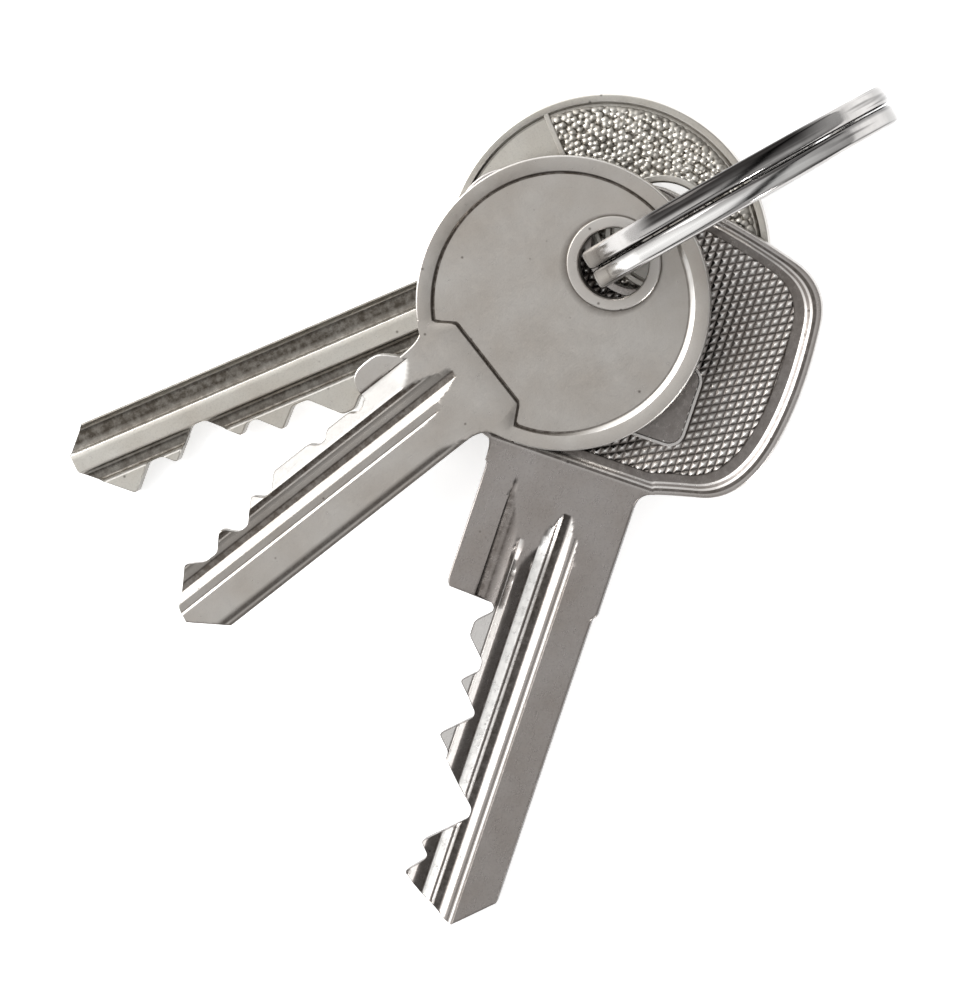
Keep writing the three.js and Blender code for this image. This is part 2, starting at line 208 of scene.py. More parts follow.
PEBBLED_KEY = {
    "node": "pebbled_bow_key",
    "body": "pebbled_key",
    "side": -1,
    "heading": 173.5,
    "hole": (-5.0, 0.0, 4.2),
    "boss": 0.6,
    "bow": (13.5, 25.0, 26.0),
    "chord": 11.6,
    "plain_edge": 4.4,
    "blade": 7.9,
    "shank": 9.2,
    "shoulder": (15.6, 22.0, 10.4, 1.2),
    "cuts": (
        (23.4, 7.0, 0.8), (28.7, 5.6, 1.4), (33.1, 5.4, 0.9), (37.4, 3.8, 1.2), (42.0, 5.2, 1.4),
    ),
    "tip": ((44.6, 7.2), (48.5, 3.7), (48.6, 2.1)),
    "chamfer": 46.6,
    "grooves": (
        (1, 12.0, (
            (0.12, 0.0, -0.5), (0.3, 0.3, -0.65), (0.44, 0.46, -0.3), (0.54, 0.5, -1.0),
            (1.0, 0.5, -0.95), (1.35, 0.5, -1.0), (1.6, 0.5, -0.75), (1.82, 0.5, -0.85),
            (1.96, 0.46, -0.9), (2.03, 0.28, 0.6), (2.14, 0.02, 0.9), (2.2, 0.0, 0.0),
        )),
        (1, 13.0, (
            (3.7, 0.0, -0.1), (3.82, 0.1, -0.4), (3.94, 0.42, -0.85), (4.07, 0.52, -0.5),
            (4.16, 0.56, -1.0), (4.5, 0.57, -0.85), (4.85, 0.58, -0.85), (5.0, 0.5, -1.0),
            (5.09, 0.3, 0.3), (5.28, 0.05, 0.6), (5.36, 0.0, 0.0),
        )),
        (-1, 12.5, ((2.6, 0.0, 0.0), (2.8, 0.6, -0.4), (4.4, 0.6, -0.4), (4.6, 0.0, 0.0))),
    ),
    "recess": (12.9, 9.8, 4.6, 1.4),
    "wall": 0.2,
    "rib": (0.1, 0.5, 12.95),
}

# The stage, in metres and degrees. A lamp is its name, azimuth, height, distance, size and
# power; the room's curve is its brightness against the cosine of the angle to its bright side.
VIEW_TURN = 29.07
LAMPS = (("left_box", 160, 40, 0.6, 0.4, 2.3), ("right_strip", -50, 25, 0.6, 0.08, 1.0))
ROOM_SIDE = (150.0, 12.0)
ROOM_CURVE = ((-1.0, 0.05), (-0.5, 0.12), (-0.12, 0.56), (0.2, 0.93), (0.55, 1.15), (1.0, 1.7))
# The floor's glow is off within UNLIT_FLOOR of the round key's hole and full beyond LIT_FLOOR: a
# painted shadow under the bows.
UNLIT_FLOOR = 0.004
LIT_FLOOR = 0.008
FLOOR_GLOW = 0.58
CAMERA_PLACE = (0.02259, -0.01823, 0.46293)
CAMERA_TURN = (0.34, 4.607, -29.066)
CAMERA_LENS = 206.3
CAMERA_SENSOR = 36.0


# ---------------------------------------------------------------- sizes and colours to change


class RingSettings(bpy.types.PropertyGroup):
    wire_squareness: bpy.props.FloatProperty(
        name="Wire squareness", description="Power of the wire's rounded-square section",
        default=4.5, min=2.0, max=12.0,
    )
    colour: bpy.props.StringProperty(
        name="Ring colour", description="sRGB hex colour of the polished steel", default="CDCBC9"
    )


class KeySettings(bpy.types.PropertyGroup):
    recess: bpy.props.FloatProperty(
        name="Recess depth", description="How far a bow's field is sunk, in millimetres",
        default=0.3, min=0.05, max=0.6,
    )
    knurl_pitch: bpy.props.FloatProperty(
        name="Knurl pitch", description="Distance between the field's lines, in millimetres",
        default=0.625, min=0.3, max=2.0,
    )
    knurl_height: bpy.props.FloatProperty(
        name="Knurl height", description="Height of one point of the field, in millimetres",
        default=0.2, min=0.05, max=0.5,
    )
    pebble_pitch: bpy.props.FloatProperty(
        name="Pebble pitch", description="Mean distance between the pebbles, in millimetres",
        default=0.58, min=0.3, max=2.0,
    )
    pebble_height: bpy.props.FloatProperty(
        name="Pebble height", description="Height of one pebble, in millimetres",
        default=0.2, min=0.02, max=0.4,
    )
    satin_colour: bpy.props.StringProperty(
        name="Satin nickel", description="sRGB hex colour of the round key", default="B4B0AB"
    )
    bright_colour: bpy.props.StringProperty(
        name="Bright nickel", description="sRGB hex colour of the knurled key", default="9E9996"
    )
    yellowed_colour: bpy.props.StringProperty(
        name="Yellowed nickel", description="sRGB hex colour of the pebbled key", default="C3C0B9"
    )


class StageSettings(bpy.types.PropertyGroup):
    floor_size: bpy.props.FloatProperty(
        name="Floor size", description="Side of the square floor", default=3.0, unit="LENGTH"
    )
    floor_colour: bpy.props.StringProperty(
        name="Floor colour", description="sRGB hex colour of the floor", default="F4F4F4"
    )


# ---------------------------------------------------------------- small tools


def linear(code):
    """An sRGB hex colour as linear RGBA."""
    srgb = np.array([int(code[i : i + 2], 16) for i in (0, 2, 4)]) / 255
    rgb = np.where(srgb <= 0.04045, srgb / 12.92, ((srgb + 0.055) / 1.055) ** 2.4)
    return (*rgb.tolist(), 1.0)


def smooth_step(low, high, value):
    """0 under low, 1 over high and 3t2 - 2t3 between."""
    t = np.clip((value - low) / (high - low), 0, 1)
    return t * t * (3 - 2 * t)


def quadratic(start, control, end, count):
    """Points of a parabola: (1-t)2 start + 2t(1-t) control + t2 end, without the first one."""
    t = (np.arange(1, count + 1) / count)[:, None]
    start, control, end = np.array(start), np.array(control), np.array(end)
    return (1 - t) ** 2 * start + 2 * t * (1 - t) * control + t * t * end


def stack_axes():
    """The tipped stack's axes as columns: a turn across the ring, then one along it."""
    ca, sa = math.cos(TIP_ALONG), math.sin(TIP_ALONG)
    cb, sb = math.cos(TIP_ACROSS), math.sin(TIP_ACROSS)
    along = np.array([[ca, 0, -sa], [0, 1, 0], [sa, 0, ca]])
    across = np.array([[1, 0, 0], [0, cb, -sb], [0, sb, cb]])
    return along @ across


def key_joint(key):
    """The joint that a key turns on, which stands in the middle of its hole."""
    return next(joint for joint in frame["joints"] if joint["child"] == key["body"])


def key_to_frame(points, key):
    """Plan millimetres to frame metres: mirrored by side, turned about the hole to the blade's
    heading, tipped with the stack, and put on the hole's own joint."""
    turn = math.radians(key["heading"])
    c, s = math.cos(turn), math.sin(turn)
    spin = np.array([[c, -s, 0], [s, c, 0], [0, 0, 1]])
    local = points * np.array([1, key["side"], 1]) - np.array([*key["hole"][:2], 0])
    return local @ spin.T @ stack_axes().T * MM + np.array(key_joint(key)["pos_m"])


def grid_triangles(rows, columns, first=0, wrap=False, flip=None):
    """Two triangles for each cell of a grid numbered row by row. Where flip is true a cell is
    split along its other diagonal."""
    last = columns if wrap else columns - 1
    i, j = np.meshgrid(np.arange(rows - 1), np.arange(last), indexing="ij")
    a = i * columns + j
    b = i * columns + (j + 1) % columns
    c, d = b + columns, a + columns
    straight = np.stack([np.stack([a, b, c], -1), np.stack([a, c, d], -1)], 2)
    other = np.stack([np.stack([a, b, d], -1), np.stack([b, c, d], -1)], 2)
    cells = straight if flip is None else np.where(flip[..., None, None], other, straight)
    return cells.reshape(-1, 3) + first


def strip_triangles(one, two):
    """Triangles between two rows of vertex numbers."""
    a, b, c, d = one[:-1], one[1:], two[1:], two[:-1]
    return np.concatenate([np.stack([a, b, c], -1), np.stack([a, c, d], -1)])


def weld(points, triangles, *channels):
    """Joins points that agree to a ten-thousandth of a millimetre and drops empty triangles."""
    near = np.round(points, 4)
    _, keep, number = np.unique(near, axis=0, return_index=True, return_inverse=True)
    triangles = number.reshape(-1)[triangles]
    full = (triangles != np.roll(triangles, 1, 1)).all(1)
    return points[keep], triangles[full], *[channel[keep] for channel in channels]


def face_up(points, triangles, sign):
    """Turns each triangle of an open sheet so that it looks to sign along z."""
    a, b, c = (points[triangles[:, k]] for k in range(3))
    up = np.cross(b - a, c - a)[:, 2] * sign
    return np.where((up < 0)[:, None], triangles[:, ::-1], triangles)


def new_object(name, points, triangles, plan, tone, material, sharp):
    """A mesh object from arrays: vertices, triangles, a UV map in plan millimetres and a
    `tone` attribute from -1, painted shade with dirt, to 1, painted highlight on lit and freshly
    cut faces."""
    mesh = bpy.data.meshes.new(name)
    mesh.from_pydata(points.tolist(), [], triangles.tolist())
    loops = np.empty(len(mesh.loops), int)
    mesh.loops.foreach_get("vertex_index", loops)
    layer = mesh.uv_layers.new(name="plan_mm")
    layer.uv.foreach_set("vector", plan[loops].astype(np.float32).ravel())
    attribute = mesh.attributes.new("tone", "FLOAT", "POINT")
    attribute.data.foreach_set("value", tone.astype(np.float32))
    mesh.polygons.foreach_set("use_smooth", np.ones(len(mesh.polygons), bool))
    mesh.materials.append(material)
    mesh.update()
    mesh.set_sharp_from_angle(angle=math.radians(sharp))
    made = bpy.data.objects.new(name, mesh)
    bpy.context.scene.collection.objects.link(made)
    return made


def face_outwards(points, triangles):
    """The triangles of closed shells, all turned outwards."""
    mesh = bpy.data.meshes.new("turning")
    mesh.from_pydata(points.tolist(), [], triangles.tolist())
    work = bmesh.new()
    work.from_mesh(mesh)
    bmesh.ops.recalc_face_normals(work, faces=work.faces)
    work.to_mesh(mesh)
    work.free()
    numbers = np.empty(len(mesh.loops), int)
    mesh.loops.foreach_get("vertex_index", numbers)
    bpy.data.meshes.remove(mesh)
    return numbers.reshape(-1, 3)


# ---------------------------------------------------------------- materials


def add_node(tree, kind, settings=(), inputs=(), links=()):
    """Adds one node, sets its properties and sockets, and links other nodes' outputs to it."""
    node = tree.nodes.new(kind)
    for name, value in dict(settings).items():
        setattr(node, name, value)
    for name, value in dict(inputs).items():
        node.inputs[name].default_value = value
    for name, output in dict(links).items():
        tree.links.new(output, node.inputs[name])
    return node


def bare_metal(name):
    """A new metal material, its node tree and its shader's inputs."""
    material = bpy.data.materials.new(name)
    material.use_nodes = True
    sockets = material.node_tree.nodes["Principled BSDF"].inputs
    sockets["Metallic"].default_value = 1.0
    return material, material.node_tree, sockets


def worn_nickel(name, base, grime_and_shade, roughness, speckle, scratch_turn):
    """Nickel-plated or nickel-silver key blank, milled and worn in a pocket: a soft satin sheen,
    fine scratches one way and small pits. Its tone attribute paints highlights on lit and freshly
    cut faces and shade, with dirt, where the face is sunk."""
    material, tree, sockets = bare_metal(name)
    plan = add_node(tree, "ShaderNodeUVMap", {"uv_map": "plan_mm"}).outputs["UV"]
    place = add_node(tree, "ShaderNodeTexCoord").outputs["Object"]
    tone = add_node(tree, "ShaderNodeAttribute", {"attribute_name": "tone"}).outputs["Fac"]
    scratched = add_node(
        tree,
        "ShaderNodeMapping",
        inputs={"Rotation": (0.0, 0.0, scratch_turn), "Scale": (0.33, 9.0, 1.0)},
        links={"Vector": plan},
    ).outputs["Vector"]
    noises = []
    for vector, scale, detail, fine in (
        # Tone drifts over 5 mm, as handling polishes some places more than others.
        (place, 200.0, 3.0, 0.6),
        # Speckle of 0.15 mm, the tarnished grain.
        (place, 6600.0, 3.0, 0.65),
        # Mottle of 0.6 mm in the dirt that lies in the grooves.
        (place, 1600.0, 4.0, 0.7),
        # Hairlines 0.05 mm apart and 3 mm long.
        (scratched, 2.0, 3.0, 0.6),
    ):
        inputs = {"Scale": scale, "Detail": detail, "Roughness": fine}
        noise = add_node(tree, "ShaderNodeTexNoise", inputs=inputs, links={"Vector": vector})
        noises.append(noise.outputs["Fac"])
    drift, grain, mottle, hairlines = noises
    # Pits 0.1 to 0.2 mm across, about one every 2 mm.
    pits = add_node(
        tree,
        "ShaderNodeTexVoronoi",
        {"feature": "F1"},
        {"Scale": 500.0, "Randomness": 1.0},
        {"Vector": place},
    ).outputs["Distance"]
    covers = []
    for value, low, high, least, most in (
        (drift, 0.3, 0.7, 0.0, 1.0),
        (grain, 0.48, 0.75, 0.0, speckle),
        (tone, 0.0, 1.0, 0.0, 1.0),
        (tone, 0.0, -1.0, 0.0, 1.0),
        (mottle, 0.35, 0.6, 0.72, 1.0),
        (pits, 0.03, 0.08, 0.7, 0.0),
        (mottle, 0.3, 0.7, roughness - 0.07, roughness + 0.09),
    ):
        inputs = {"From Min": low, "From Max": high, "To Min": least, "To Max": most}
        cover = add_node(tree, "ShaderNodeMapRange", inputs=inputs, links={"Value": value})
        covers.append(cover.outputs["Result"])
    worn, speckled, cut, shade_and_dirt, uneven, pitted, rough = covers
    # The tone's dark side is painted shade with dirt, broken up by the mottle.
    shade_and_dirt = add_node(
        tree, "ShaderNodeMath", {"operation": "MULTIPLY"}, links={0: shade_and_dirt, 1: uneven}
    ).outputs["Value"]
    # The drifting tone goes from the plating's colour to one a little darker and warmer.
    clean = linear(base)
    handled = (*(np.array(clean[:3]) * (0.86, 0.83, 0.8)).tolist(), 1.0)
    colour = add_node(
        tree, "ShaderNodeMix", {"data_type": "RGBA"}, {"A": clean, "B": handled}, {"Factor": worn}
    ).outputs["Result"]
    # Over the grain go F0EEEB, a painted highlight on lit and freshly cut faces, then painted
    # shade with dirt from the tone, then the pits.
    for over, cover in ((grime_and_shade, speckled), ("F0EEEB", cut), (grime_and_shade, shade_and_dirt), (grime_and_shade, pitted)):
        links = {"Factor": cover, "A": colour}
        layer = add_node(tree, "ShaderNodeMix", {"data_type": "RGBA"}, {"B": linear(over)}, links)
        colour = layer.outputs["Result"]
    relief = add_node(
        tree,
        "ShaderNodeBump",
        inputs={"Strength": 0.25, "Distance": 0.00002},
        links={"Height": hairlines},
    )
    grained = add_node(
        tree,
        "ShaderNodeBump",
        inputs={"Strength": 0.3, "Distance": 0.00002},
        links={"Height": grain, "Normal": relief.outputs["Normal"]},
    )
    tree.links.new(colour, sockets["Base Color"])
    tree.links.new(rough, sockets["Roughness"])
    tree.links.new(grained.outputs["Normal"], sockets["Normal"])
    return material


def polished_spring_steel(code):
    """Nickel-plated spring steel, drawn and tumbled: a near mirror with faint draw lines along
    the wire and a few rubbed places. Its tone attribute and its long dark streaks paint
    reflection and shade."""
    material, tree, sockets = bare_metal("Polished plated spring steel")
    plan = add_node(tree, "ShaderNodeUVMap", {"uv_map": "plan_mm"}).outputs["UV"]
    # The tone attribute is painted reflection and shade.
    reflection_and_shade_tone = add_node(tree, "ShaderNodeAttribute", {"attribute_name": "tone"}).outputs["Fac"]
    noises = []
    for stretch, detail, fine in (
        # Draw lines 0.1 mm apart that run 6 mm along the wire.
        ((0.16, 10.0, 1.0), 3.0, 0.6),
        # Rubbed patches about 2 mm long.
        ((0.5, 0.5, 0.5), 4.0, 0.6),
        # Long dark streaks 0.4 mm wide and 15 mm long: partly plating rubbed through, partly
        # painted reflection streaks.
        ((0.065, 2.4, 1.0), 2.0, 0.5),
    ):
        drawn = add_node(
            tree, "ShaderNodeMapping", inputs={"Scale": stretch}, links={"Vector": plan}
        ).outputs["Vector"]
        inputs = {"Scale": 1.0, "Detail": detail, "Roughness": fine}
        noise = add_node(tree, "ShaderNodeTexNoise", inputs=inputs, links={"Vector": drawn})
        noises.append(noise.outputs["Fac"])
    lines, patches, streaks = noises
    covers = []
    for value, low, high, least, most in (
        (streaks, 0.52, 0.62, 0.0, 0.75),
        (reflection_and_shade_tone, 0.0, 1.0, 0.0, 1.0),
        (reflection_and_shade_tone, 0.0, -1.0, 0.0, 1.0),
        (patches, 0.35, 0.75, 0.08, 0.22),
    ):
        inputs = {"From Min": low, "From Max": high, "To Min": least, "To Max": most}
        cover = add_node(tree, "ShaderNodeMapRange", inputs=inputs, links={"Value": value})
        covers.append(cover.outputs["Result"])
    streaked, lighter, darker, rough = covers
    ends = {"A": linear(code), "B": linear("9C9997")}
    colour = add_node(
        tree, "ShaderNodeMix", {"data_type": "RGBA"}, ends, {"Factor": patches}
    ).outputs["Result"]
    # Painted reflection streaks in 262322, painted highlight in F4F3F1 and painted shade in
    # 1E1B1A.
    for over, cover in (("262322", streaked), ("F4F3F1", lighter), ("1E1B1A", darker)):
        links = {"Factor": cover, "A": colour}
        layer = add_node(tree, "ShaderNodeMix", {"data_type": "RGBA"}, {"B": linear(over)}, links)
        colour = layer.outputs["Result"]
    relief = add_node(
        tree,
        "ShaderNodeBump",
        inputs={"Strength": 0.15, "Distance": 0.00002},
        links={"Height": lines},
    )
    tree.links.new(colour, sockets["Base Color"])
    tree.links.new(rough, sockets["Roughness"])
    tree.links.new(relief.outputs["Normal"], sockets["Normal"])
    return material


# ---------------------------------------------------------------- the split ring


def split_ring_surface(squareness):
    """A rounded-square section |a|^p + |b|^p = 1 carried along two flat coils joined by one
    sideways jog; over the last 0.6 mm of each end it shrinks along a quarter ellipse. Its tone,
    painted reflection and shade, goes by the bearing and by how far across the wire a point lies."""
    radius = RING_OUTER_RADIUS - WIRE_RADIAL / 2
    offset = (WIRE_AXIAL + COIL_GAP) / 2
    sweep = 2 * math.pi - JOG_SWEEP
    total = 2 * sweep + JOG_SWEEP
    reach = 0.6 / radius
    ends = reach * (1 - np.cos(np.linspace(0, math.pi / 2, 9)))
    middle = np.linspace(reach, total - reach, 520)[1:-1]
    turned = np.concatenate([ends, middle, total - ends[::-1]])
    angle = JOG_START + JOG_SWEEP + turned
    jog = smooth_step(sweep, sweep + JOG_SWEEP, turned)
    line = np.stack([radius * np.cos(angle), offset * (2 * jog - 1), radius * np.sin(angle)], -1)
    near_end = np.clip(np.minimum(turned, total - turned) / reach, 0, 1)
    shrink = np.sqrt(np.clip(1 - (1 - near_end) ** 2, 0, 1))[:, None]
    around = np.linspace(0, 2 * math.pi, 36, endpoint=False)
    power = 2 / squareness
    axial = np.sign(np.cos(around)) * np.abs(np.cos(around)) ** power * WIRE_AXIAL / 2
    radial = np.sign(np.sin(around)) * np.abs(np.sin(around)) ** power * WIRE_RADIAL / 2
    outward = np.stack([np.cos(angle), np.zeros_like(angle), np.sin(angle)], -1)
    points = (
        line[:, None]
        + (axial * shrink)[..., None] * np.array([0, 1, 0])
        + (radial * shrink)[..., None] * outward[:, None]
    )
    girth = around * (WIRE_AXIAL + WIRE_RADIAL) / math.pi
    plan = np.stack(np.broadcast_arrays((turned * radius)[:, None], girth[None]), -1)
    # On the top of the ring the tone is partly rubbed metal, partly painted reflection and shade:
    # the upper coil darker along its outer shoulder, the lower one lighter along its middle and
    # darker in the crease by the upper coil, and both darker towards the right-hand end.
    across = (axial / WIRE_AXIAL * 2)[None] * (np.sin(around)[None] > -0.2)
    place = np.cos(angle)[:, None]
    upper = turned[:, None] > sweep + JOG_SWEEP / 2
    above = smooth_step(0.0, 0.3, np.sin(angle))[:, None]
    shaded = smooth_step(-0.62, -0.45, place) * (1 - smooth_step(0.45, 0.75, place))
    dark = shaded * smooth_step(-0.3, 0.1, across) * upper
    crease = smooth_step(0.45, 0.75, across) * ~upper
    light = 1 - smooth_step(0.3, 0.6, np.abs(across + 0.05))
    light = light * (1 - smooth_step(0.3, 0.8, place)) * ~upper
    tone = above * (0.9 * light - 0.95 * dark - 0.7 * crease)
    tone = tone - 0.45 * smooth_step(0.9, 0.985, place)
    triangles = grid_triangles(len(turned), len(around), wrap=True)
    return points.reshape(-1, 3), triangles, plan.reshape(-1, 2), tone.ravel()


# ---------------------------------------------------------------- the keys


def tooth_line(key):
    """(x, height) corners of the tooth edge from the shoulder's end: V cuts of slope 1 with
    flat roots, held under the blade's height, then the tip's crest and nose."""
    corners = []
    before = (key["shoulder"][1] + 0.02, key["blade"])
    for at, height, flat in key["cuts"]:
        start, end = at - flat / 2, at + flat / 2
        meet_x = (before[0] + start + height - before[1]) / 2
        meet = before[1] + meet_x - before[0]
        if meet > key["blade"]:
            corners.append((before[0] + key["blade"] - before[1], key["blade"]))
            corners.append((start - key["blade"] + height, key["blade"]))
        else:
            corners.append((meet_x, meet))
        corners += [(start, height), (end, height)]
        before = (end, height)
    return corners + list(key["tip"])


def rounded(corners, reach):
    """A line whose inner corners are each worn to a parabola that starts `reach` before it."""
    made = [np.array(corners[0])]
    for before, corner, after in zip(corners, corners[1:], corners[2:]):
        back, ahead = np.subtract(before, corner), np.subtract(after, corner)
        first = corner + back * min(reach / np.linalg.norm(back), 0.45)
        last = corner + ahead * min(reach / np.linalg.norm(ahead), 0.45)
        made += [first, *quadratic(first, corner, last, 3)]
    return [*made, np.array(corners[-1])]


def bow_arc(key, count):
    """Points round the bow from the plain side's end of the chord to the tooth side's. A round
    bow is r(cos a, sin a); a wide one is a chain of parabolas and its mirror image."""
    if "bow" in key:
        start = math.acos(key["chord"] / key["bow"][0])
        angle = np.linspace(start, 2 * math.pi - start, count + 2)[1:-1]
        return key["bow"][0] * np.stack([np.cos(angle), np.sin(angle)], -1)
    half = [np.array([[key["apex"], key["middle_y"]]])]
    for control, end in key["spans"]:
        half.append(quadratic(half[-1][-1], control, end, count // 10))
    half = np.concatenate(half)
    mirrored = half * [1, -1] + [0, 2 * key["middle_y"]]
    return np.concatenate([half[::-1], mirrored[1:]])[1:-1]


def blade_edges(key):
    """The plain edge and the tooth edge as (x, height) lines from the chord to the nose."""
    plain, blade_shank = key["plain_edge"], key["shank"]
    start, end, height, rounding = key["shoulder"]
    if "bow" in key:
        radius = key["bow"][0]
        sides = []
        for degrees, sign, level in ((key["bow"][1], -1, 0.0), (key["bow"][2], 1, blade_shank)):
            angle = math.radians(degrees)
            x = np.linspace(key["chord"], radius * math.cos(angle), 8)
            arc = np.stack([x, plain + sign * np.sqrt(radius**2 - x**2)], -1)
            fillet = quadratic(arc[-1], (arc[-1][0] + 0.6, level), (radius + 1.2, level), 8)
            sides.append(np.concatenate([arc, fillet]))
    else:
        joint = np.array(key["spans"][-1][1])
        sides = []
        for y, level in ((joint[1], 0.0), (2 * key["middle_y"] - joint[1], blade_shank)):
            first = np.array([joint[0], plain - y])
            fillet = quadratic(first, (joint[0] + 0.3, level), (joint[0] + 1.8, level), 8)
            sides.append(np.concatenate([[first], fillet]))
    step = key.get("edge_step", ())
    inward = step[-1][1] if step else 0.0
    low = np.array([*sides[0], *step, (key["chamfer"], inward), key["tip"][-1]])
    corner = quadratic((end - rounding, height), (end, height), (end, height - rounding), 6)
    lobe = rounded([sides[1][-1], (start, height), (end - rounding, height)], 0.9)
    high = np.concatenate([sides[1], lobe[1:], corner, rounded(tooth_line(key), 0.28)])
    return low, high


def groove_relief(key, face, x, height):
    """How deep the blade's face is cut, and its tone: the deepest of its grooves, each being its
    section less the cutter's lift, which is R - sqrt(R2 - d2) at d short of full depth. A tone
    fades in as its groove comes to be the deepest."""
    depth = np.zeros(np.broadcast(x, height).shape)
    tone = np.zeros_like(depth)
    for side, start, section, *other in key["grooves"]:
        if side != face:
            continue
        cutter = other[0] if other else CUTTER_RADIUS
        heights, depths, tones = np.array(section).T
        run = math.sqrt(cutter**2 - (cutter - depths.max()) ** 2)
        short = np.clip(start + run - x, 0, cutter * 0.9)
        cut = np.interp(height, heights, depths, 0, 0) - (cutter - np.sqrt(cutter**2 - short**2))
        inside = (height >= heights[0]) & (height <= heights[-1])
        ahead = inside & (cut >= depth - RUN_OUT) & (cut > -RUN_OUT)
        shown = np.maximum(smooth_step(-RUN_OUT, RUN_OUT, cut - depth), short == 0)
        tone = np.where(ahead, tone + (np.interp(height, heights, tones) - tone) * shown, tone)
        depth = np.maximum(depth, cut)
    if "land" in key and face == 1:
        start, run, low, level, shine = key["land"]
        on_land = smooth_step(start - run, start, x) * smooth_step(low - 0.1, low, height)
        depth = depth + (level - depth) * on_land
        tone = tone + (shine - tone) * on_land
    return depth, tone


def ray_radius(curve, hole, angle):
    """Distance from the hole's middle to a closed curve along each angle."""
    way = curve - np.array(hole[:2])
    bearing = np.arctan2(way[:, 1], way[:, 0])
    return np.interp(angle, bearing, np.hypot(way[:, 0], way[:, 1]), period=2 * math.pi)


def inset(curve, distance):
    """A closed curve moved inwards along its normals."""
    way = np.roll(curve, -1, 0) - np.roll(curve, 1, 0)
    normal = np.stack([-way[:, 1], way[:, 0]], -1)
    length = np.linalg.norm(normal, axis=1, keepdims=True)
    return curve + distance * normal / np.maximum(length, 1e-9)


def round_recess(radius, chord, half, corner):
    """The sunk disc of a round bow: its circle from one end of the step to the other, then the
    step, a straight line with two slanted corners."""
    meet = math.acos((chord + corner) / radius)
    angle = np.linspace(meet, 2 * math.pi - meet, 360)
    arc = radius * np.stack([np.cos(angle), np.sin(angle)], -1)
    step = np.stack([np.full(60, chord), np.linspace(-half, half, 60)], -1)
    slant = np.linspace(arc[-1], step[0], 12)[1:-1]
    back = np.linspace(step[-1], arc[0], 12)[1:-1]
    return np.concatenate([arc, slant, step, back])


def blade_grid(key):
    """Stations along x, close together where grooves run out, and heights across: the rounded
    rim of each edge and, between them, every corner of a groove's section."""
    low, high = blade_edges(key)
    nose = key["tip"][-1][0]
    starts = [start for side, start, *_ in key["grooves"] if side > 0]
    fine = np.arange(min(starts) - 0.3, max(starts) + 3.0, FINE_STEP)
    coarse = np.arange(key["chord"], nose, STATION_STEP)
    stations = np.concatenate([coarse, fine, low[:, 0], high[:, 0]])
    stations = np.unique(np.round(stations[stations <= nose], 4))
    bottom, top = np.interp(stations, *low.T), np.interp(stations, *high.T)
    sections = [np.array(section)[:, 0] for _, _, section, *_ in key["grooves"]]
    breaks = np.unique(np.concatenate(sections))
    fill = np.arange(bottom.min(), top.max(), HEIGHT_STEP)
    far = np.abs(fill[:, None] - breaks).min(1) > HEIGHT_CLEAR
    across = np.unique(np.round(np.concatenate([breaks, fill[far]]), 3))
    edge = np.minimum(EDGE, (top - bottom) / 3)
    first, last = bottom + edge, top - edge
    inner = np.clip(across, first[:, None], last[:, None])
    rows = [bottom, bottom + edge / 3, first, inner, last, top - edge / 3, top]
    return stations, np.column_stack(rows)


